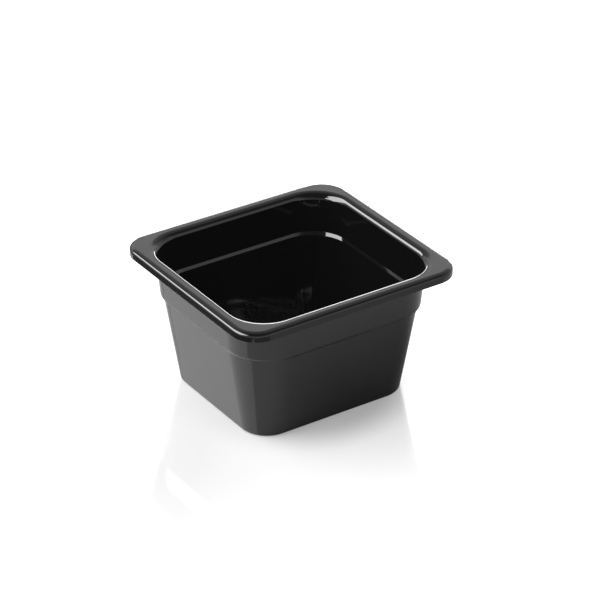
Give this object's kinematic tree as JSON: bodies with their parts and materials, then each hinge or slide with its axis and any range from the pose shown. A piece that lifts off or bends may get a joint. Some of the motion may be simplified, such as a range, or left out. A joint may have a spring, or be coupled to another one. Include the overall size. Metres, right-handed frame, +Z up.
{
  "type": "food pan",
  "caption": "Sixth-size deli food pan, 100 mm deep: a black plastic moulding with a turned-down rim, a stacking shoulder and tapered walls.",
  "frame": {"origin": "centre of the base's underside, on the surface that the pan stands on", "axes": "+X along the long side of the rim, +Y along its short side, +Z up out of the pan's mouth"},
  "size_m": [0.176, 0.162, 0.1],
  "materials": {
    "pan_plastic": "polished black polycarbonate"
  },
  "bodies": {
    "root": {"pan": "pan_plastic"}
  },
  "joints": []
}
